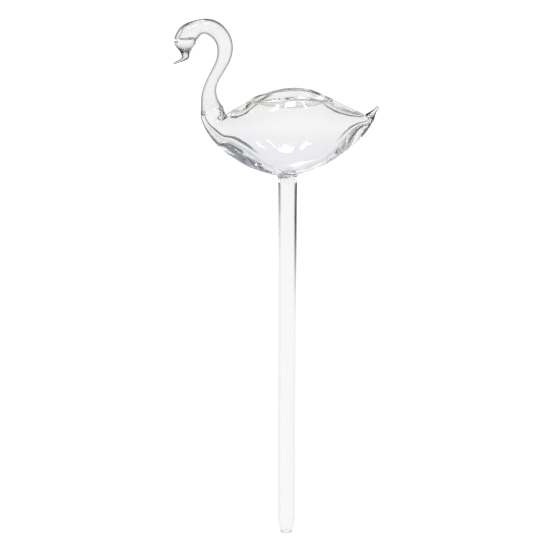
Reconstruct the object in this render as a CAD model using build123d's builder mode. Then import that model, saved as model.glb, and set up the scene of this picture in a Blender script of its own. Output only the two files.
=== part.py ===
from build123d import *
import os

# Watering globe: a swan of clear lampworked glass on a long hollow stem.
# Millimetres. The origin is the middle of the weld between stem and belly, +Z is up,
# the stem hangs down the Z axis, and the swan looks towards -X.

# Overall sizes of the swan
swan_length = 110.0          # bill tip to tail tip
swan_height = 88.0           # stem weld to the top of the head
body_width = 44.0            # across the blown body

# Stem, cut from stock tube
stem_diameter = 10.0
stem_wall = 1.0
stem_length = 201.0
mouth_diameter = 7.2         # outside, at the fire-polished end
mouth_bore = 5.2
mouth_land = 2.5             # straight stretch of the narrowed bore
taper_length = 9.0

# Nipple, the short flared neck that the stem is welded to
nipple_flare = 2.4           # radius of its spread into the belly
nipple_overlap = 1.2         # how far it runs up into the belly's wall

# Blown body
neck_root_diameter = 12.6    # where the neck is welded on
neck_root_overrun = 1.0      # how far the cavity is cut past that weld, to leave the body open
tail_root_diameter = 5.6     # where the tail is welded on
root_wall = 1.2              # at the neck weld
blown_wall = 1.7             # sides and back
heavy_wall = 7.5             # the thickest glass, low in the breast

# Dish, pressed into the back and leaving the wing edges standing on both sides
dish_wall = 1.8
wing_edge_radius = 1.8
wing_fold_radius = 1.0       # inside, under the wing edge

# Neck and head, one drawn tube
waist_diameter = 6.15        # the thinnest stretch of the neck
arch_diameter = 8.75         # over the top of the bend
nape_diameter = 7.9
head_diameter = 11.6
neck_wall = 0.8
head_floor = 1.4             # solid glass between the cavity and the bill

# Bill and tail, drawn out of solid rod
bill_bridge_diameter = 4.0   # under the brow
bill_tip_diameter = 0.9
bill_bead_diameter = 2.2
tail_neck_diameter = 1.5
tail_bead_diameter = 1.9

# Lines of the swan, as shares of its length (x) and height (z)
neck_line_shares = [
    (-0.365, 0.432), (-0.381, 0.541), (-0.358, 0.642), (-0.316, 0.741), (-0.303, 0.830),
    (-0.335, 0.918), (-0.400, 0.955), (-0.464, 0.923), (-0.495, 0.864),
]
neck_start_direction_shares = (-0.128, 1.0)
neck_end_direction_shares = (-0.2, -1.0)
bill_line_shares = [
    (-0.495, 0.864), (-0.504, 0.815), (-0.497, 0.781), (-0.499, 0.753),
    (-0.522, 0.735), (-0.5525, 0.7205),
]
bill_end_direction_shares = (-1.0, -0.4375)
tail_line_shares = [(0.397, 0.405), (0.418, 0.439), (0.432, 0.461)]
tail_start_direction_shares = (0.312, 0.92)
tail_end_direction_shares = (0.496, 0.78)

# The blown body in fanned slices from breast to tail: belly point, back point, half width as a
# share of half the body's width, and the belly's wall as a share of the heavy wall. The wall
# swells and falls again where breast and tail were drawn out of the round bulb.
body_slice_shares = [
    ((-0.4210, 0.393), (-0.2990, 0.416), 0.310, 0.24),
    ((-0.4100, 0.354), (-0.2900, 0.411), 0.350, 0.30),
    ((-0.3845, 0.295), (-0.2720, 0.438), 0.450, 0.48),
    ((-0.3320, 0.217), (-0.2360, 0.468), 0.635, 0.73),
    ((-0.3000, 0.184), (-0.2135, 0.483), 0.725, 0.98),
    ((-0.2710, 0.155), (-0.1925, 0.500), 0.790, 1.00),
    ((-0.2360, 0.127), (-0.1665, 0.520), 0.850, 0.74),
    ((-0.1364, 0.073), (-0.0909, 0.582), 0.965, 0.32),
    ((0.0000, 0.045), (0.0045, 0.627), 1.000, 0.28),
    ((0.1273, 0.084), (0.0955, 0.611), 0.955, 0.37),
    ((0.2318, 0.150), (0.1864, 0.539), 0.800, 0.62),
    ((0.3091, 0.225), (0.2591, 0.488), 0.590, 0.80),
    ((0.3664, 0.291), (0.3164, 0.455), 0.380, 0.62),
    ((0.4060, 0.360), (0.3580, 0.428), 0.205, 0.27),
]
# The dish: its middle and half length as shares of the swan's length, its radius as a share of the
# body's width, and its floor as a share of the swan's height
dish_centre_share = 0.005
dish_half_length_share = 0.302
dish_radius_share = 0.373
dish_floor_share = 0.469

# Neck sections: place along its line, width there as a share of a diameter, and that diameter
neck_section_shares = [
    (0.000, 1.000, neck_root_diameter), (0.045, 0.890, neck_root_diameter),
    (0.085, 0.775, neck_root_diameter), (0.146, 0.645, neck_root_diameter),
    (0.200, 1.120, waist_diameter), (0.320, 1.000, waist_diameter),
    (0.430, 1.155, waist_diameter), (0.550, 0.965, arch_diameter),
    (0.660, 1.000, arch_diameter), (0.740, 0.980, arch_diameter),
    (0.820, 1.000, nape_diameter), (0.866, 0.775, head_diameter),
    (0.906, 0.895, head_diameter), (0.955, 0.970, head_diameter), (1.000, 1.000, head_diameter),
]
bore_last_share = 0.906      # the last neck section that the bore follows
bore_dome_shares = [(0.45, 0.97), (1.0, 0.74)]   # then it domes over: way to the floor, width

# Bill and tail sections in the same way
bill_section_shares = [
    (0.00, 1.000, head_diameter), (0.12, 0.760, head_diameter),
    (0.27, 1.300, bill_bridge_diameter), (0.45, 0.850, bill_bridge_diameter),
    (0.62, 0.700, bill_bridge_diameter), (0.80, 1.800, bill_tip_diameter),
    (1.00, 1.000, bill_tip_diameter),
]
bill_bead_share = 0.50       # along the bill's line
tail_section_shares = [
    (0.00, 1.000, tail_root_diameter), (0.45, 0.560, tail_root_diameter),
    (1.00, 1.000, tail_neck_diameter),
]


def swan_point(share):
    """A point of the swan's middle plane from its shares of length and height."""
    return Vector(share[0] * swan_length, 0, share[1] * swan_height)


def line_through(shares, first_direction, last_direction):
    """A smooth line in the middle plane that starts and ends in the given directions."""
    with BuildLine() as line:
        Spline(
            *[swan_point(share) for share in shares],
            tangents=[swan_point(first_direction), swan_point(last_direction)],
        )
    return line.edge()


def section_plane(line, place):
    """The plane square to a line of the middle plane, with its x axis across the swan."""
    return Plane(origin=line @ place, x_dir=(0, 1, 0), z_dir=line % place)


def disc(plane, diameter):
    """A round section of drawn glass."""
    with BuildSketch(plane) as section:
        Circle(diameter / 2)
    return section.sketch


def drawn_discs(line, section_shares):
    """The round sections along a line, from a table of places, shares and diameters."""
    return [
        disc(section_plane(line, place), share * diameter)
        for place, share, diameter in section_shares
    ]


def oval(belly, back, half_width):
    """A section of the blown body, from its belly point to its back point, in four quarters."""
    across = Vector(0, 1, 0)
    plane = Plane(origin=(belly + back) / 2, x_dir=across, z_dir=across.cross(back - belly))
    half_height = (back - belly).length / 2
    with BuildSketch(plane) as section:
        with BuildLine():
            for start in range(-90, 270, 90):
                EllipticalCenterArc((0, 0), half_width, half_height,
                                    start_angle=start, arc_size=90)
        make_face()
    return section.sketch


def round_oval(plane, diameter, belly_side):
    """A round section split as an oval is, to end a blown form in a weld."""
    to_belly = plane.y_dir * (belly_side * diameter / 2)
    return oval(plane.origin + to_belly, plane.origin - to_belly, diameter / 2)


def skin_ovals():
    """The outer sections of the blown body, in order."""
    return [
        oval(swan_point(belly), swan_point(back), width * body_width / 2)
        for belly, back, width, wall in body_slice_shares
    ]


def cavity_ovals():
    """The same sections inside the wall."""
    sections = []
    for belly, back, width, wall in body_slice_shares:
        inward = (swan_point(back) - swan_point(belly)).normalized()
        sections.append(oval(
            swan_point(belly) + inward * (wall * heavy_wall),
            swan_point(back) - inward * blown_wall, width * body_width / 2 - blown_wall,
        ))
    return sections


def dish_tool(growth):
    """The pressing tool's form for the back, grown all round."""
    radius = dish_radius_share * body_width + growth
    half_length = dish_half_length_share * swan_length + growth
    floor = swan_point((dish_centre_share, dish_floor_share))
    centre = floor + Vector(0, 0, radius - growth)
    with BuildPart() as tool:
        with BuildSketch(Plane(origin=centre, x_dir=(1, 0, 0), z_dir=(0, -1, 0))):
            with BuildLine():
                Line((-half_length, 0), (half_length, 0))
                EllipticalCenterArc((0, 0), half_length, radius, start_angle=0, arc_size=180)
            make_face()
        revolve(axis=Axis(centre, (1, 0, 0)))
    return tool.part


neck_line = line_through(
    neck_line_shares, neck_start_direction_shares, neck_end_direction_shares)
bill_line = line_through(
    bill_line_shares, neck_end_direction_shares, bill_end_direction_shares)
tail_line = line_through(
    tail_line_shares, tail_start_direction_shares, tail_end_direction_shares)
neck_weld = section_plane(neck_line, 0)
tail_weld = section_plane(tail_line, 0)

# Stem: straight tube with its lower end narrowed and fire-polished to a round lip
stem_radius = stem_diameter / 2
stem_bore_radius = stem_radius - stem_wall
lip_outer = mouth_diameter / 2
lip_inner = mouth_bore / 2
lip_radius = (lip_outer - lip_inner) / 2
lip_height = lip_radius - stem_length
taper_top = taper_length - stem_length
land_top = mouth_land - stem_length
with BuildPart() as stem_tube:
    with BuildSketch(Plane.XZ):
        with BuildLine():
            Polyline((stem_bore_radius, taper_top), (stem_bore_radius, 0), (stem_radius, 0),
                     (stem_radius, taper_top))
            Spline((stem_radius, taper_top), (lip_outer, lip_height), tangents=[(0, -1), (0, -1)])
            ThreePointArc((lip_outer, lip_height), (lip_outer - lip_radius, -stem_length),
                          (lip_inner, lip_height))
            Line((lip_inner, lip_height), (lip_inner, land_top))
            Spline((lip_inner, land_top), (stem_bore_radius, taper_top), tangents=[(0, 1), (0, 1)])
        make_face()
    revolve(axis=Axis.Z)
stem_tube.part.label = "stem_tube"

# Neck and head: one tube, drawn thin in the middle and blown out to the head, closed there
with BuildPart() as neck_and_head:
    sweep(drawn_discs(neck_line, neck_section_shares), path=neck_line, multisection=True)
    bore = [
        disc(section_plane(neck_line, place), share * diameter - 2 * neck_wall)
        for place, share, diameter in neck_section_shares if place <= bore_last_share
    ]
    floor_place = 1 - head_floor / neck_line.length
    for way, width in bore_dome_shares:
        place = bore_last_share + way * (floor_place - bore_last_share)
        bore.append(disc(section_plane(neck_line, place), width * (head_diameter - 2 * neck_wall)))
    sweep(bore, path=neck_line.trim(0, floor_place), multisection=True, mode=Mode.SUBTRACT)
neck_and_head.part.label = "neck_and_head"

# Bill: solid rod, fused under the brow, drawn thin and curled forward, with a bead at its corner
with BuildPart() as bill:
    sweep(drawn_discs(bill_line, bill_section_shares), path=bill_line, multisection=True)
    with Locations(bill_line @ bill_bead_share + Vector(bill_bead_diameter / 2, 0, 0)):
        Sphere(bill_bead_diameter / 2)
bill.part.label = "bill"

# Tail: solid rod drawn upward to a tiny bead
with BuildPart() as tail_tip:
    sweep(drawn_discs(tail_line, tail_section_shares), path=tail_line, multisection=True)
    with Locations(tail_line @ 1):
        Sphere(tail_bead_diameter / 2)
tail_tip.part.label = "tail_tip"

# Body: blown bulb with the breast, the tail cone, the wing edges round the pressed back, and
# the nipple underneath. The cavity runs from the neck weld to the tail and down the nipple.
with BuildPart() as cavity:
    open_end = [
        round_oval(plane, neck_root_diameter - 2 * root_wall, 1)
        for plane in (neck_weld.offset(neck_root_overrun), neck_weld)
    ]
    loft(open_end + cavity_ovals())
    add(dish_tool(dish_wall), mode=Mode.SUBTRACT)
    fillet(cavity.edges(Select.LAST), wing_fold_radius)

belly_height = min(swan_point(belly).Z for belly, back, width, wall in body_slice_shares)
with BuildPart() as reservoir_body:
    loft([round_oval(neck_weld, neck_root_diameter, 1)] + skin_ovals()
         + [round_oval(tail_weld, tail_root_diameter, -1)])
    add(dish_tool(0), mode=Mode.SUBTRACT)
    fillet(reservoir_body.edges(Select.LAST), wing_edge_radius)
    with BuildSketch():
        Circle(stem_radius)
    extrude(amount=belly_height + nipple_overlap)
    fillet(reservoir_body.edges(Select.NEW).filter_by(lambda edge: edge.center().Z > 0), nipple_flare)
    add(cavity.part, mode=Mode.SUBTRACT)
    with BuildSketch():
        Circle(stem_bore_radius)
    extrude(amount=heavy_wall, mode=Mode.SUBTRACT)
reservoir_body.part.label = "reservoir_body"

pieces = [reservoir_body, neck_and_head, bill, tail_tip, stem_tube]
os.makedirs("parts", exist_ok=True)
for piece in pieces:
    print(piece.part.label, "volume", round(piece.part.volume, 1), "valid", piece.part.is_valid)
    export_step(piece.part, f"parts/{piece.part.label}.step")
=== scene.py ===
import bmesh
import bpy
import numpy as np
from math import atan2, cos, hypot, pi, radians, sin, sqrt
from mathutils import Matrix, Vector
from mathutils.bvhtree import BVHTree


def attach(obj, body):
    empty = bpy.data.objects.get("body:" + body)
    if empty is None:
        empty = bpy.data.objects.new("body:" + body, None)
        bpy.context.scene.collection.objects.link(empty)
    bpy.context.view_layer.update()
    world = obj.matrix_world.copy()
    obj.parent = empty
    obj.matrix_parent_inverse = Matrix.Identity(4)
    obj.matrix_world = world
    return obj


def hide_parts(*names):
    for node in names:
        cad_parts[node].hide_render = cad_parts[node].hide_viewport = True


# Self-watering plant globe: a swan of clear lampworked borosilicate glass on a long open stem.
# Sizes in the dictionaries of the pieces are millimetres, from the weld between stem and belly,
# and the meshes are written in metres. The swan looks towards -X, and +Z is up.
# Every piece is real walled glass: an outer skin and the skin of its hollow. Where two pieces
# are flame-welded the skins stay open and meet, because fused glass has no face inside it.

mm = 0.001

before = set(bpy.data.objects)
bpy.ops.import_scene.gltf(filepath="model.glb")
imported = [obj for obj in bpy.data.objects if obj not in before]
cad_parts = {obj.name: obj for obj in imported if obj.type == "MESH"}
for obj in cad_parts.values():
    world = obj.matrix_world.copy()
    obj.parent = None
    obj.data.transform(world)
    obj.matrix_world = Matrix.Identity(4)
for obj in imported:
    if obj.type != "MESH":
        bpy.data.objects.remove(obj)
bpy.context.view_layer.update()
print("frame loaded:", ", ".join(sorted(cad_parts)))


def splineThrough(rows):
    # natural cubic spline through the rows of a table; the first column is the place along it
    table = np.array(rows, float)
    place, values = table[:, 0], table[:, 1:]
    count = len(place)
    step = np.diff(place)
    matrix, right = np.zeros((count, count)), np.zeros_like(values)
    matrix[0, 0] = matrix[-1, -1] = 1
    for i in range(1, count - 1):
        matrix[i, i - 1:i + 2] = step[i - 1], 2 * (step[i - 1] + step[i]), step[i]
        rise = (values[i + 1] - values[i]) / step[i]
        riseBefore = (values[i] - values[i - 1]) / step[i - 1]
        right[i] = 6 * (rise - riseBefore)
    bend = np.linalg.solve(matrix, right)

    def read(at):
        i = int(np.clip(np.searchsorted(place, at) - 1, 0, count - 2))
        after, before, h = place[i + 1] - at, at - place[i], step[i]
        return ((bend[i] * after ** 3 + bend[i + 1] * before ** 3) / (6 * h)
                + (values[i] / h - bend[i] * h / 6) * after
                + (values[i + 1] / h - bend[i + 1] * h / 6) * before)
    return read


def lineThrough(points):
    # a smooth line in the swan's middle plane, read by the share of its length
    flat = np.array(points, float)
    along = np.concatenate(([0], np.cumsum(np.hypot(*np.diff(flat, axis=0).T))))
    return splineThrough(np.column_stack((along / along[-1], flat)))


def pointOn(line, place):
    x, z = line(place)
    return Vector((x, 0, z))


def turnsOf(sides):
    return [2 * pi * k / sides for k in range(sides)]


def roundRing(line, place, radius, sides):
    # one ring of a drawn tube, square to its line; it starts on the outer side of the bend
    nearby = 0.002            # share of the line to each side that gives its direction
    ahead, behind = line(min(place + nearby, 1)), line(max(place - nearby, 0))
    along = Vector((ahead[0] - behind[0], 0, ahead[1] - behind[1])).normalized()
    side = Vector((-along.z, 0, along.x))
    return [pointOn(line, place) + side * (radius * cos(t)) + Vector((0, radius * sin(t), 0))
            for t in turnsOf(sides)]


def ovalRing(belly, back, halfWidth, sides):
    # one ring of the blown bulb, from its back point round to its belly point and up again
    middle, half = (belly + back) / 2, (back - belly) / 2
    return [middle + half * cos(t) + Vector((0, halfWidth * sin(t), 0)) for t in turnsOf(sides)]


def addRings(mesh, rings, facesIn=False, start=None):
    # a skin from ring to ring, and from start if one is given; facesIn turns it towards the hollow
    loops = [start] if start else []
    loops += [[mesh.verts.new(point * mm) for point in ring] for ring in rings]
    for low, high in zip(loops, loops[1:]):
        for k in range(len(low)):
            n = (k + 1) % len(low)
            face = (low[k], high[k], high[n], low[n])
            mesh.faces.new(face[::-1] if facesIn else face).material_index = int(facesIn)
    return loops


def addedFaces(mesh, rings, facesIn, start):
    # adds rings and returns the end of the mesh's list of faces. Where faces were deleted before,
    # a few of the new ones take their places earlier in the list and keep the first number.
    before = len(mesh.faces)
    addRings(mesh, rings, facesIn, start)
    mesh.faces.ensure_lookup_table()
    return mesh.faces[before:]


def closeRing(mesh, loop, tip, facesIn=False):
    # closes the last ring of a skin with a fan of faces to one point
    end = mesh.verts.new(tip * mm)
    for k in range(len(loop)):
        face = (loop[k], end, loop[(k + 1) % len(loop)])
        mesh.faces.new(face[::-1] if facesIn else face).material_index = int(facesIn)


def finishPiece(name, mesh, node):
    # one glass piece: smooth, on the frame's body, in the place of its CAD solid
    data = bpy.data.meshes.new(name)
    mesh.to_mesh(data)
    mesh.free()
    data.shade_smooth()
    piece = bpy.data.objects.new(name, data)
    bpy.context.scene.collection.objects.link(piece)
    smooth = piece.modifiers.new("meltSmooth", "SUBSURF")
    smooth.levels = smooth.render_levels = 1
    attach(piece, "root")
    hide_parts(node)
    print("made", name, len(data.vertices), "points")
    return piece


body = {
    "sides": 112,
    "rings": 100,
    # the wall of the sides: at the breast, how fast it grows along the body, and at most
    "sideWall": (1.2, 12, 1.7),
    # belly x, z, back x, z, half width, belly wall, back wall
    "slices": [
        (-46.37, 37.02, -33.93, 39.02, 6.30, 1.25, 1.20),
        (-46.31, 34.58, -32.89, 36.61, 6.82, 1.40, 1.40),
        (-45.10, 31.15, -31.90, 36.17, 7.70, 1.60, 1.60),
        (-42.30, 25.96, -29.92, 38.54, 9.90, 2.10, 1.90),
        (-36.52, 19.10, -25.96, 41.18, 13.97, 3.20, 2.10),
        (-33.00, 16.19, -23.49, 42.50, 15.95, 4.50, 2.00),
        (-29.81, 13.64, -21.18, 44.00, 17.38, 5.20, 1.80),
        (-25.96, 11.18, -18.32, 46.20, 18.70, 5.30, 1.50),
        (-15.00, 6.42, -10.00, 51.70, 21.23, 3.60, 1.10),
        (0.00, 3.96, 0.50, 55.80, 21.97, 2.00, 0.90),
        (14.00, 7.39, 10.51, 54.30, 21.01, 1.90, 1.10),
        (25.50, 13.20, 20.50, 47.43, 17.60, 2.90, 1.90),
        (34.00, 19.80, 28.50, 42.94, 12.98, 4.60, 2.40),
        (40.30, 25.61, 34.80, 40.04, 8.36, 4.65, 2.00),
        (44.66, 31.68, 39.38, 37.66, 4.51, 2.03, 1.50),
        (46.25, 34.55, 41.09, 36.73, 2.80, 1.60, 1.30),
    ],
    "cavityEnd": 14,          # the slice where the hollow closes, before the solid tail
    # the dish pressed into the back: middle x, floor z, half length, half width
    "dish": (0.6, 41.3, 33.2, 16.4),
    "dishWall": 1.0,
    "wingSoft": 1.8,          # how softly the glass turns over the wing edge
    "foldSoft": 1.2,          # the same in the hollow
    # the dome that ends the hollow: its direction, rings as width and way ahead, and its tip
    "domeAhead": (0.39, 0, 0.92),
    "domeRings": [(0.86, 0.7), (0.62, 1.3), (0.34, 1.65)],
    "domeTip": 1.75,
}


def placesAlong(slices):
    # shares of the way from breast to tail, measured along belly and back together
    table = np.array(slices, float)
    step = np.hypot(*np.diff(table[:, 0:2], axis=0).T) + np.hypot(*np.diff(table[:, 2:4], axis=0).T)
    along = np.concatenate(([0], np.cumsum(step)))
    return along / along[-1]


def softMin(a, b, soft):
    # the lower of two heights, with the corner between them rounded
    blend = max(soft - abs(a - b), 0) / soft
    return min(a, b) - blend * blend * soft / 4


def pressDish(point, wall, soft):
    # the pressing tool is a long round form; the glass around it rises to the wing edges
    middle, floor, halfLength, halfWidth = body["dish"]
    reach = 1 - ((point.x - middle) / (halfLength + wall)) ** 2 - (point.y / (halfWidth + wall)) ** 2
    if reach > 0:
        tool = floor + halfWidth - (halfWidth + wall) * sqrt(reach)
        point.z = softMin(point.z, tool, soft)
    return point


def bodyRings(inset):
    # the skin of the bulb, or with inset the skin of its hollow
    slices = body["slices"]
    places = placesAlong(slices)
    read = splineThrough([(place, *row) for place, row in zip(places, slices)])
    last = places[body["cavityEnd"]] if inset else 1
    rings = []
    for k in range(body["rings"] + 1):
        place = last * k / body["rings"]
        bellyX, bellyZ, backX, backZ, halfWidth, bellyWall, backWall = read(place)
        belly, back = Vector((bellyX, 0, bellyZ)), Vector((backX, 0, backZ))
        if inset:
            inward = (back - belly).normalized()
            belly, back = belly + inward * bellyWall, back - inward * backWall
            atBreast, growth, most = body["sideWall"]
            halfWidth -= min(most, atBreast + growth * place)
        ring = ovalRing(belly, back, halfWidth, body["sides"])
        middle = (belly.z + back.z) / 2
        wall, soft = (body["dishWall"], body["foldSoft"]) if inset else (0, body["wingSoft"])
        for point in ring:
            if point.z > middle:
                pressDish(point, wall, soft)
        rings.append(ring)
    return rings


stem = {
    "sides": 72,
    "radius": 5.0,
    "bore": 4.0,
    # outer skin down to the fire-polished lip and back up the bore: radius, z
    "profile": [
        (5.0, 0.0), (5.16, -0.6), (5.0, -1.5), (5.0, -30.0), (5.0, -60.0), (5.0, -90.0),
        (5.0, -120.0), (5.0, -150.0), (5.0, -175.0), (5.0, -188.0), (4.98, -191.0), (4.90, -192.8),
        (4.68, -194.8), (4.30, -197.0), (3.92, -198.9), (3.68, -200.0), (3.58, -200.55),
        (3.42, -200.85), (3.16, -200.98), (2.90, -200.90), (2.70, -200.65), (2.60, -200.2),
        (2.60, -199.4), (2.72, -198.3), (3.05, -196.6), (3.52, -194.6), (3.86, -192.9),
        (3.97, -191.2), (4.0, -189.0), (4.0, -175.0), (4.0, -150.0), (4.0, -120.0),
        (4.0, -90.0), (4.0, -60.0), (4.0, -30.0), (4.0, -1.5), (3.75, -0.6), (4.0, 0.0),
    ],
    "lipRadius": 3.16,        # at the lip's lowest ring the outer skin turns into the bore's
}

nipple = {
    "outerFillet": 2.6,
    "innerFillet": 1.5,
    "patch": 9.0,             # half size of the belly patch that is re-laid round the stem
    "lowBelly": 20.0,         # the patch lies below this height, and the back above it
    # height from which the belly's skin is looked for: outside, and in the hollow
    "castFrom": (-10.0, 0.0),
    # shares of the way: from the patch's edge to the fillet, round the fillet, down to the weld
    "inSteps": (0.3, 0.6, 0.85, 1.0),
    "turnSteps": (0.2, 0.4, 0.6, 0.8, 1.0),
    "downSteps": (0.5, 1.0),
}


def openBelly(mesh, loops, radius, fillet, facesIn):
    # re-lays the skin of the belly round the stem, in rings that turn down into it
    skin = BVHTree.FromBMesh(mesh)
    castFrom = nipple["castFrom"][int(facesIn)] * mm
    sides = len(loops[0])
    low = sides // 2
    near = [i for i, loop in enumerate(loops)
            if abs(loop[low].co.x) < nipple["patch"] * mm and loop[low].co.z < nipple["lowBelly"] * mm]
    first, last = near[0], near[-1]
    wide = 1
    while loops[(first + last) // 2][low + wide].co.y > -nipple["patch"] * mm:
        wide += 1
    left, right = low - wide, low + wide
    edge = [loops[i][left] for i in range(first, last)]
    edge += [loops[last][k] for k in range(left, right)]
    edge += [loops[i][right] for i in range(last, first, -1)]
    edge += [loops[first][k] for k in range(right, left, -1)]
    inside = {loops[i][k] for i in range(first + 1, last) for k in range(left + 1, right)}

    def onSkin(x, y):
        return skin.ray_cast(Vector((x, y, castFrom)), Vector((0, 0, 1)))[0].z

    rings = []
    start = radius + fillet
    for share in nipple["inSteps"]:
        ring = []
        for vert in edge:
            far, angle = hypot(vert.co.x, vert.co.y) / mm, atan2(vert.co.y, vert.co.x)
            out = far + (start - far) * share
            x, y = out * cos(angle) * mm, out * sin(angle) * mm
            ring.append(Vector((x, y, onSkin(x, y))) / mm)
        rings.append(ring)
    for turn in nipple["turnSteps"]:
        out = radius + fillet * (1 - sin(turn * pi / 2))
        drop = fillet * (1 - cos(turn * pi / 2))
        ring = []
        for vert in edge:
            angle = atan2(vert.co.y, vert.co.x)
            x, y = out * cos(angle) * mm, out * sin(angle) * mm
            ring.append(Vector((x, y, onSkin(x, y) - drop * mm)) / mm)
        rings.append(ring)
    top = rings[-1]
    for share in nipple["downSteps"]:
        rings.append([Vector((p.x, p.y, p.z * (1 - share))) for p in top])
    bmesh.ops.delete(mesh, geom=list(inside), context="VERTS")
    # the rings run down and not along, so their faces turn the other way
    for face in addedFaces(mesh, rings, not facesIn, edge):
        face.material_index = int(facesIn)


def makeBody():
    mesh = bmesh.new()
    outer = addRings(mesh, bodyRings(inset=False))
    openBelly(mesh, outer, stem["radius"], nipple["outerFillet"], False)
    # the hollow is opened in a mesh of its own, so that its rays meet no other skin
    hollow = bmesh.new()
    rings = bodyRings(inset=True)
    inner = addRings(hollow, rings, facesIn=True)
    openBelly(hollow, inner, stem["bore"], nipple["innerFillet"], True)
    # the hollow closes in a soft dome where the tail was drawn out solid
    end = rings[-1]
    middle = sum(end, Vector()) / len(end)
    ahead = Vector(body["domeAhead"])
    dome = [[middle + (point - middle) * width + ahead * forward for point in end]
            for width, forward in body["domeRings"]]
    loops = addRings(hollow, dome, True, inner[-1])
    closeRing(hollow, loops[-1], middle + ahead * body["domeTip"], facesIn=True)
    scratch = bpy.data.meshes.new("hollow")
    hollow.to_mesh(scratch)
    hollow.free()
    mesh.from_mesh(scratch)
    bpy.data.meshes.remove(scratch)
    return finishPiece("blownBody", mesh, "reservoir_body")


neck = {
    "sides": 72,
    "rings": 90,
    "wall": 0.8,
    "rootWall": 1.2,
    "rootReach": 0.04,        # share of the line over which the wall thins from root to neck
    "line": [
        (-40.15, 38.02), (-41.91, 47.61), (-39.38, 56.50), (-34.76, 65.21), (-33.33, 73.04),
        (-36.85, 80.78), (-44.00, 84.04), (-51.04, 81.22), (-53.60, 78.60), (-54.55, 76.03),
    ],
    # place along the line, radius
    "radii": [
        (0.000, 6.30), (0.045, 5.61), (0.085, 4.88), (0.146, 4.06), (0.200, 3.44), (0.320, 3.08),
        (0.430, 3.55), (0.550, 4.22), (0.660, 4.38), (0.740, 4.29), (0.820, 3.95), (0.866, 4.50),
        (0.906, 5.19), (0.955, 5.63), (1.000, 5.80),
    ],
    "hollowEnd": 0.970,
    "levelFrom": 0.93,        # from here on the rings of the hollow turn level, as its floor is
    "hollowFloor": 0.984,
    # way to the floor, width
    "floorRings": [(0.3, 0.985), (0.6, 0.93), (0.85, 0.78), (0.96, 0.5)],
    "weldBead": (0.018, 0.35, 0.010),    # the ring that the flame leaves: place, height, reach
}


def swell(bead, place):
    # how far a bead of molten glass stands up at a place along the line
    at, height, reach = bead
    return height * np.exp(-((place - at) / reach) ** 2)


def makeNeck():
    line = lineThrough(neck["line"])
    radius = splineThrough(neck["radii"])
    outer, inner = [], []
    for k in range(neck["rings"] + 1):
        place = k / neck["rings"]
        outside = radius(place)[0] + swell(neck["weldBead"], place)
        outer.append(roundRing(line, place, outside, neck["sides"]))
        at = place * neck["hollowEnd"]
        root = max(0, 1 - at / neck["rootReach"]) ** 2
        wall = neck["wall"] + (neck["rootWall"] - neck["wall"]) * root
        ring = roundRing(line, at, radius(at)[0] - wall, neck["sides"])
        level = max(0, (at - neck["levelFrom"]) / (neck["hollowEnd"] - neck["levelFrom"]))
        for point in ring:
            point.z += (line(at)[1] - point.z) * level
        inner.append(ring)
    end, last = inner[-1], neck["hollowEnd"]
    middle = sum(end, Vector()) / len(end)
    for share, width in neck["floorRings"]:
        centre = pointOn(line, last + share * (neck["hollowFloor"] - last))
        inner.append([centre + (point - middle) * width for point in end])
    mesh = bmesh.new()
    addRings(mesh, outer)
    hollow = addRings(mesh, inner, facesIn=True)
    closeRing(mesh, hollow[-1], pointOn(line, neck["hollowFloor"]), facesIn=True)
    return finishPiece("drawnNeckAndHead", mesh, "neck_and_head")


bill = {
    "sides": 48,
    "rings": 44,
    "line": [
        (-54.55, 76.03), (-54.40, 72.40), (-54.40, 69.60), (-54.70, 67.60), (-56.20, 66.10),
        (-58.50, 65.10), (-60.50, 64.10),
    ],
    # place along the line, radius
    "radii": [
        (0.00, 5.80), (0.06, 5.60), (0.20, 4.55), (0.33, 3.05), (0.43, 2.25), (0.53, 1.75),
        (0.60, 1.35), (0.70, 0.90), (0.85, 0.62), (1.00, 0.36),
    ],
    "bead": (0.54, 0.8, 0.06),     # the small knot of glass at the bend: place, height, reach
    "beadSide": (0.95, 0, 0.1),    # the side of the bill that it stands on
    "beadNarrow": 3,               # how narrow it is across
    "tip": (-0.25, -0.12),         # from the last ring to the tip: x, z
}


def makeBill():
    line = lineThrough(bill["line"])
    radius = splineThrough(bill["radii"])
    rings = []
    for k in range(bill["rings"] + 1):
        place = k / bill["rings"]
        ring = roundRing(line, place, radius(place)[0], bill["sides"])
        centre = pointOn(line, place)
        for point in ring:
            away = (point - centre).normalized()
            lift = max(0, away.dot(Vector(bill["beadSide"]))) ** bill["beadNarrow"]
            point += away * (lift * swell(bill["bead"], place))
        rings.append(ring)
    mesh = bmesh.new()
    loops = addRings(mesh, rings)
    (x, z), (aheadX, aheadZ) = line(1), bill["tip"]
    closeRing(mesh, loops[-1], Vector((x + aheadX, 0, z + aheadZ)))
    return finishPiece("curledBill", mesh, "bill")


tail = {
    "sides": 40,
    "rings": 24,
    "line": [(43.67, 35.64), (45.98, 38.63), (47.52, 40.57)],
    # place along the line, radius; it ends in the little bead the flame leaves
    "radii": [
        (0.00, 2.80), (0.12, 2.42), (0.30, 1.95), (0.50, 1.48), (0.70, 1.08), (0.84, 0.86),
        (0.93, 0.92), (1.00, 0.95),
    ],
    # the bead: its direction, its length, and the angles of its rings, in degrees
    "ahead": (0.62, 0, 0.78),
    "bead": 0.95,
    "beadTurns": (20, 40, 60, 78),
}


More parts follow.
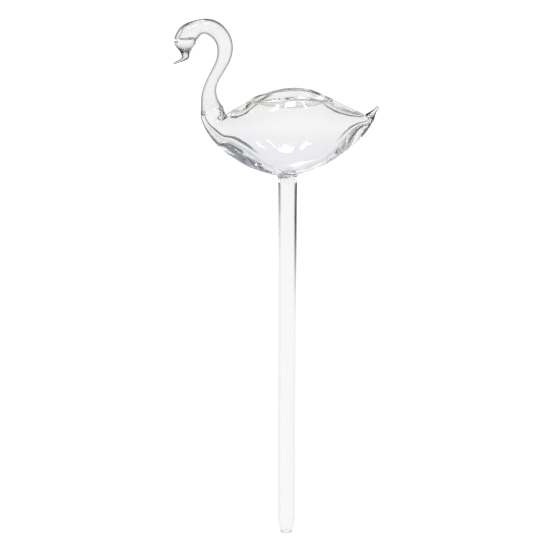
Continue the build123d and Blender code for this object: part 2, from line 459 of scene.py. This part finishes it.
def makeTail():
    line = lineThrough(tail["line"])
    radius = splineThrough(tail["radii"])
    places = [k / tail["rings"] for k in range(tail["rings"] + 1)]
    rings = [roundRing(line, place, radius(place)[0], tail["sides"]) for place in places]
    end = rings[-1]
    middle, ahead = pointOn(line, 1), Vector(tail["ahead"])
    for angle in tail["beadTurns"]:
        width, forward = cos(radians(angle)), sin(radians(angle)) * tail["bead"]
        rings.append([middle + (point - middle) * width + ahead * forward for point in end])
    mesh = bmesh.new()
    loops = addRings(mesh, rings)
    closeRing(mesh, loops[-1], middle + ahead * tail["bead"])
    return finishPiece("drawnTailTip", mesh, "tail_tip")


def makeStem():
    mesh = bmesh.new()
    rings = [[Vector((radius * cos(t), radius * sin(t), z)) for t in turnsOf(stem["sides"])]
             for radius, z in stem["profile"]]
    turn = next(k for k, row in enumerate(stem["profile"]) if row[0] <= stem["lipRadius"])
    loops = addRings(mesh, rings[:turn + 1])
    for face in addedFaces(mesh, rings[turn + 1:], False, loops[-1]):
        face.material_index = 1
    return finishPiece("feedingStem", mesh, "stem_tube")


bodyPiece = makeBody()
neckPiece = makeNeck()
billPiece = makeBill()
tailPiece = makeTail()
stemPiece = makeStem()


def linear(hexColour):
    # an sRGB hex value as the linear colour that the shaders take
    parts = [int(hexColour[k:k + 2], 16) / 255 for k in (1, 3, 5)]
    return tuple(c / 12.92 if c <= 0.04045 else ((c + 0.055) / 1.055) ** 2.4 for c in parts) + (1.0,)


def addNode(tree, kind, settings=None, links=None):
    # one node with its settings; links maps an input to an output socket or a fixed value
    node = tree.nodes.new(kind)
    for name, value in (settings or {}).items():
        setattr(node, name, value)
    for socket, source in (links or {}).items():
        if isinstance(source, bpy.types.NodeSocket):
            tree.links.new(source, node.inputs[socket])
        else:
            node.inputs[socket].default_value = source
    return node


def setStops(ramp, rows):
    # writes the stops of a colour ramp; a new ramp already has its first and last one
    stops = ramp.color_ramp.elements
    while len(stops) < len(rows):
        stops.new(1.0)
    for stop, (place, colour) in zip(stops, rows):
        stop.position, stop.color = place, colour


# Borosilicate glass, blown and drawn in the flame: colourless, and fire-polished so it has no
# roughness. Its gather is faintly grey.
borosilicate = {
    "ior": 1.47,
    # streaks of the gather: their length as a multiple of waveMm, detail and roughness
    "streak": (4, 2.0, 0.5),
    # the swell of the skin: detail, roughness and height
    "swell": (1.0, 0.4, 0.4),
}

glassLooks = {
    # Painted edge shade: towards grazing angles the glass is tinted dark in place of the outlines that
    # refraction
    # shows, most where it was drawn out thick: breast, shoulders and tail. A piece has one look for its
    # outer skin and one for the skin of its hollow.
    # clear: colours low and high on the piece, and heights: where it goes from one to the other.
    # edge: colours of the painted edge shade at grazing angles where the wall is thin, and where it is
    # thick, low and high.
    # thickness and shaded side: weights of x, distance from the middle plane, and z, whose sum goes
    # over the span from thin to thick; a weight on x paints one side of the piece darker, as painted
    # shade. A look with only zeros is thick all over.
    # edgeFrom, edgeTo: the facing, 0 head on and 1 grazing, at which the painted edge shade comes in.
    # waveMm, wave: length and strength of the swell in the skin.
    # shade bands (painted shade): facing, and the share of a dark matt shader in the edge colour mixed
    # over the glass there.
    "bulb": {
        "clear": ("#F6F6F8", "#FCFCFB"), "edge": ("#B8BEB8", "#DCE0D4", "#646A5E"),
        "heights": (6.0, 44.0),
        "thickAndShadedSide": (0.0, 1.0, 0.0), "span": (10.0, 30.0), "edgeFrom": 0.62, "edgeTo": 0.95,
        "waveMm": 9.0, "wave": 0.10},
    "bulbHollow": {
        "clear": ("#F7F7F9", "#FBFBFB"), "edge": ("#A8A09A", "#68788C", "#8C7A60"),
        "heights": (10.0, 42.0),
        "thickAndShadedSide": (-0.3, 1.0, 0.4), "span": (24.0, 36.0), "edgeFrom": 0.50, "edgeTo": 0.86,
        "waveMm": 5.0, "wave": 0.35,
        "shadeBands": [(0.36, 0.0), (0.40, 0.85), (0.47, 0.85), (0.51, 0.0)]},
    "neck": {
        "clear": ("#F8F8F8", "#F9F9F9"), "edge": ("#363E42", "#363E42", "#1A1E20"),
        "heights": (40.0, 72.0),
        "thickAndShadedSide": (0.0, 0.0, 1.0), "span": (40.0, 72.0), "edgeFrom": 0.20, "edgeTo": 0.62,
        "waveMm": 7.0, "wave": 0.04},
    "neckHollow": {
        "clear": ("#F8F8F9", "#F9F9F9"), "edge": ("#7E868C", "#9A7A66", "#8A6A56"),
        "heights": (60.0, 80.0),
        "thickAndShadedSide": (-1.0, 0.0, 0.0), "span": (46.0, 52.0), "edgeFrom": 0.40, "edgeTo": 0.90,
        "waveMm": 7.0, "wave": 0.04,
        "shadeBands": [(0.50, 0.0), (0.64, 0.40), (0.85, 0.40), (0.95, 0.0)]},
    "bill": {
        "clear": ("#B4BECC", "#F4F2F0"), "edge": ("#9AA6B4", "#28323E", "#3A2C20"),
        "heights": (63.5, 69.5),
        "thickAndShadedSide": (-1.0, 0.0, -2.0), "span": (-92.0, -86.0), "edgeFrom": 0.25, "edgeTo": 0.70,
        "waveMm": 3.0, "wave": 0.05,
        "shadeBands": [(0.16, 0.0), (0.36, 0.80), (1.00, 0.80)]},
    "tail": {
        "clear": ("#F8F8F0", "#F8F6E8"), "edge": ("#1E2418", "#1E2418", "#2A2614"),
        "heights": (35.0, 41.0),
        "thickAndShadedSide": (0.0, 0.0, 0.0), "span": (-9.0, -8.0), "edgeFrom": 0.16, "edgeTo": 0.60,
        "waveMm": 3.0, "wave": 0.05,
        "shadeBands": [(0.12, 0.0), (0.32, 0.80), (1.00, 0.80)]},
    "tube": {
        "clear": ("#FBFBFB", "#FAFAFA"), "edge": ("#E4E4E2", "#101010", "#101010"),
        "heights": (-62.0, 2.0),
        "thickAndShadedSide": (4.0, 0.0, 1.0), "span": (-62.0, 2.0), "edgeFrom": 0.22, "edgeTo": 0.58,
        "waveMm": 14.0, "wave": 0.02,
        "shadeBands": [(0.30, 0.0), (0.50, 0.80), (1.00, 0.80)]},
    "tubeHollow": {
        "clear": ("#FBFBFB", "#FAFAFA"), "edge": ("#EAEAE8", "#A8A8A4", "#A8A8A4"),
        "heights": (-62.0, 2.0),
        "thickAndShadedSide": (4.0, 0.0, 1.0), "span": (-62.0, 2.0), "edgeFrom": 0.40, "edgeTo": 0.90,
        "waveMm": 14.0, "wave": 0.02},
}


def makeGlass(name, look):
    material = bpy.data.materials.new(name)
    material.use_nodes = True
    tree = material.node_tree
    tree.nodes.clear()
    place = addNode(tree, "ShaderNodeTexCoord")
    # how high the glass is here, how thick, and which side is painted darker as shade; slow streaks of
    # the gather shift where the painted shade turns dark
    length, detail, roughness = borosilicate["streak"]
    streaks = addNode(tree, "ShaderNodeTexNoise", {}, {
        "Vector": place.outputs["Object"], "Scale": 1 / (length * look["waveMm"] * mm),
        "Detail": detail, "Roughness": roughness})
    streak = addNode(tree, "ShaderNodeMath", {"operation": "MULTIPLY_ADD"}, {
        0: streaks.outputs["Fac"], 1: look["waveMm"] * mm, 2: -0.5 * look["waveMm"] * mm})
    where = addNode(tree, "ShaderNodeSeparateXYZ", {}, {"Vector": place.outputs["Object"]})
    aside = addNode(tree, "ShaderNodeMath", {"operation": "ABSOLUTE"}, {0: where.outputs["X"]})
    thickAndShadedSide = streak
    sources = (where.outputs["X"], aside.outputs["Value"], where.outputs["Z"])
    for source, weight in zip(sources, look["thickAndShadedSide"]):
        if weight:
            thickAndShadedSide = addNode(tree, "ShaderNodeMath", {"operation": "MULTIPLY_ADD"}, {
                0: source, 1: weight, 2: thickAndShadedSide.outputs["Value"]})
    height = addNode(tree, "ShaderNodeMath", {"operation": "ADD"}, {
        0: where.outputs["Z"], 1: streak.outputs["Value"]})
    high, drawn = [addNode(tree, "ShaderNodeMapRange", {"interpolation_type": "SMOOTHSTEP"}, {
        "Value": value.outputs["Value"],
        "From Min": look[span][0] * mm, "From Max": look[span][1] * mm})
        for value, span in ((height, "heights"), (thickAndShadedSide, "span"))]

    def blend(share, first, second):
        return addNode(tree, "ShaderNodeMix", {"data_type": "RGBA"}, {
            "Factor": share.outputs["Result"], 6: first, 7: second}).outputs[2]

    clear = blend(high, linear(look["clear"][0]), linear(look["clear"][1]))
    # painted edge shade: towards grazing angles the clear tint turns to these edge colours
    thinEdgeShade, thickSideEdgeShadeLow, thickSideEdgeShadeHigh = [linear(tone) for tone in look["edge"]]
    edge = blend(drawn, thinEdgeShade, blend(high, thickSideEdgeShadeLow, thickSideEdgeShadeHigh))
    grazing = addNode(tree, "ShaderNodeLayerWeight", {}, {"Blend": 0.5})
    edgeShadeShare = addNode(tree, "ShaderNodeMapRange", {"interpolation_type": "SMOOTHSTEP"}, {
        "Value": grazing.outputs["Facing"], "From Min": look["edgeFrom"], "From Max": look["edgeTo"]})
    clearWithEdgeShade = blend(edgeShadeShare, clear, edge)
    # the faint swell that the flame and the worker's breath leave in the skin
    detail, roughness, rise = borosilicate["swell"]
    waves = addNode(tree, "ShaderNodeTexNoise", {}, {
        "Vector": place.outputs["Object"], "Scale": 1 / (look["waveMm"] * mm),
        "Detail": detail, "Roughness": roughness})
    relief = addNode(tree, "ShaderNodeBump", {}, {
        "Height": waves.outputs["Fac"], "Strength": look["wave"], "Distance": rise * mm})
    glass = addNode(tree, "ShaderNodeBsdfPrincipled", {}, {
        "Base Color": clearWithEdgeShade, "Roughness": 0.0, "IOR": borosilicate["ior"],
        "Transmission Weight": 1.0, "Normal": relief.outputs["Normal"]})
    surface = glass.outputs["BSDF"]
    if "shadeBands" in look:
        # painted shade: in bands of facing a dark matt shader in the edge colour is mixed over the
        # glass, most where it is thick and on the side painted darker
        along = addNode(tree, "ShaderNodeValToRGB", {}, {"Fac": grazing.outputs["Facing"]})
        setStops(along, [(facing, (share, share, share, 1.0)) for facing, share in look["shadeBands"]])
        shadeBandShare = addNode(tree, "ShaderNodeMath", {"operation": "MULTIPLY"}, {
            0: along.outputs["Color"], 1: drawn.outputs["Result"]})
        paintedShadeDiffuse = addNode(tree, "ShaderNodeBsdfDiffuse", {}, {"Color": edge})
        surface = addNode(tree, "ShaderNodeMixShader", {}, {
            0: shadeBandShare.outputs["Value"], 1: surface, 2: paintedShadeDiffuse.outputs["BSDF"]}).outputs["Shader"]
    addNode(tree, "ShaderNodeOutputMaterial", {}, {"Surface": surface})
    return material


for piece, skins in (
        (bodyPiece, (("blownBorosilicate", "bulb"), ("blownHollow", "bulbHollow"))),
        (neckPiece, (("drawnBorosilicate", "neck"), ("drawnHollow", "neckHollow"))),
        (billPiece, (("solidRodBill", "bill"),)), (tailPiece, (("solidRodTail", "tail"),)),
        (stemPiece, (("tubeBorosilicate", "tube"), ("tubeHollow", "tubeHollow")))):
    for name, look in skins:
        piece.data.materials.append(makeGlass(name, glassLooks[look]))
print("glass done")


white = (1, 1, 1, 1)

# the studio's lengths are metres
studio = {
    "floorRadius": 6.0,
    "floorSides": 96,
    "floorZ": -0.2012,
    "floorColour": "#F4F4F4",
    "floorGlow": 0.75,
    # tones of the studio above the table, by the height of the direction
    "sky": [
        (0.00, "#FFFFFF"), (0.12, "#FCFCFC"), (0.30, "#E4E5E8"), (0.46, "#C4C6CA"),
        (0.62, "#767A80"), (0.76, "#4A5056"), (0.90, "#7A8086"), (1.00, "#9AA0A6"),
    ],
    "fill": 0.38,
    # the point the softboxes face, and each one's name, place, width and height, and watts
    "aim": (0, 0, 0.02),
    "softboxes": [
        ("keySoftbox", (-0.08, -0.80, 1.20), (0.30, 0.34), 3.0),
        ("leftSoftbox", (-0.46, -0.75, 1.15), (0.12, 0.30), 1.2),
        ("rightSoftbox", (0.44, -0.75, 1.15), (0.10, 0.36), 1.2),
        ("backSoftbox", (-0.35, 0.85, 1.30), (0.4, 0.5), 2.5),
    ],
    # light runs along inside the walls, so glass needs more bounces than opaque things do
    "bounces": 32,
}


def rayKinds(tree):
    # whether a ray comes straight from the camera, and whether the glass bent or mirrored it
    ray = addNode(tree, "ShaderNodeLightPath")
    bent = addNode(tree, "ShaderNodeMath", {"operation": "MAXIMUM"}, {
        0: ray.outputs["Is Glossy Ray"], 1: ray.outputs["Is Transmission Ray"]})
    return ray.outputs["Is Camera Ray"], bent.outputs["Value"]


def makeFloor():
    mesh = bmesh.new()
    bmesh.ops.create_circle(
        mesh, cap_ends=True, segments=studio["floorSides"], radius=studio["floorRadius"])
    data = bpy.data.meshes.new("paleFloor")
    mesh.to_mesh(data)
    mesh.free()
    floor = bpy.data.objects.new("paleFloor", data)
    floor.location.z = studio["floorZ"]
    bpy.context.scene.collection.objects.link(floor)
    material = bpy.data.materials.new("whitePaperSweep")
    material.use_nodes = True
    tree = material.node_tree
    tree.nodes.clear()
    # the paper is lit so brightly that it glows to the camera, and plain white through the glass
    straight, bent = rayKinds(tree)
    matt = addNode(tree, "ShaderNodeBsdfDiffuse", {}, {"Color": linear(studio["floorColour"])})
    glow = addNode(tree, "ShaderNodeEmission", {}, {"Color": white, "Strength": studio["floorGlow"]})
    bright = addNode(tree, "ShaderNodeAddShader", {}, {
        0: matt.outputs["BSDF"], 1: glow.outputs["Emission"]})
    plain = addNode(tree, "ShaderNodeEmission", {}, {"Color": white, "Strength": 1.0})
    paper = addNode(tree, "ShaderNodeMixShader", {}, {
        0: straight, 1: matt.outputs["BSDF"], 2: bright.outputs["Shader"]})
    sweep = addNode(tree, "ShaderNodeMixShader", {}, {
        0: bent, 1: paper.outputs["Shader"], 2: plain.outputs["Emission"]})
    addNode(tree, "ShaderNodeOutputMaterial", {}, {"Surface": sweep.outputs["Shader"]})
    data.materials.append(material)


def makeSky():
    world = bpy.data.worlds.new("studioSky")
    bpy.context.scene.world = world
    world.use_nodes = True
    tree = world.node_tree
    tree.nodes.clear()
    # the glass shows the studio's tones, the camera sees plain white, and the rest is soft fill
    straight, bent = rayKinds(tree)
    place = addNode(tree, "ShaderNodeTexCoord")
    split = addNode(tree, "ShaderNodeSeparateXYZ", {}, {"Vector": place.outputs["Generated"]})
    ramp = addNode(tree, "ShaderNodeValToRGB", {}, {"Fac": split.outputs["Z"]})
    setStops(ramp, [(height, linear(tone)) for height, tone in studio["sky"]])
    tones = addNode(tree, "ShaderNodeBackground", {}, {"Color": ramp.outputs["Color"], "Strength": 1.0})
    soft = addNode(tree, "ShaderNodeBackground", {}, {"Color": white, "Strength": studio["fill"]})
    plain = addNode(tree, "ShaderNodeBackground", {}, {"Color": white, "Strength": 1.0})
    lit = addNode(tree, "ShaderNodeMixShader", {}, {
        0: bent, 1: soft.outputs["Background"], 2: tones.outputs["Background"]})
    sky = addNode(tree, "ShaderNodeMixShader", {}, {
        0: straight, 1: lit.outputs["Shader"], 2: plain.outputs["Background"]})
    addNode(tree, "ShaderNodeOutputWorld", {}, {"Surface": sky.outputs["Shader"]})


def makeSoftbox(name, place, size, watts):
    lamp = bpy.data.lights.new(name, "AREA")
    lamp.shape, lamp.size, lamp.size_y = "RECTANGLE", *size
    lamp.energy = watts
    box = bpy.data.objects.new(name, lamp)
    box.location = place
    box.rotation_euler = (Vector(studio["aim"]) - Vector(place)).to_track_quat("-Z", "Y").to_euler()
    bpy.context.scene.collection.objects.link(box)


# place, lens and sensor in millimetres, pitch and roll in degrees, the far clip in metres
camera = {
    "place": (-6.4, -1052.0, 230.0),
    "pitch": 15.0,
    "roll": 0.13,
    "lens": 130.7,
    "sensor": 36.0,
    "farClip": 50.0,
}


def makeCamera():
    data = bpy.data.cameras.new("frontCamera")
    data.lens, data.sensor_width = camera["lens"], camera["sensor"]
    data.clip_end = camera["farClip"]
    eye = bpy.data.objects.new("frontCamera", data)
    turn = Matrix.Rotation(radians(90 - camera["pitch"]), 4, "X")
    turn = turn @ Matrix.Rotation(radians(camera["roll"]), 4, "Z")
    eye.matrix_world = Matrix.Translation(Vector(camera["place"]) * mm) @ turn
    bpy.context.scene.collection.objects.link(eye)
    bpy.context.scene.camera = eye


makeFloor()
makeSky()
for softbox in studio["softboxes"]:
    makeSoftbox(*softbox)
makeCamera()
bpy.context.scene.view_settings.view_transform = "Standard"
light = bpy.context.scene.cycles
light.max_bounces = light.glossy_bounces = light.transmission_bounces = studio["bounces"]
print("studio done")
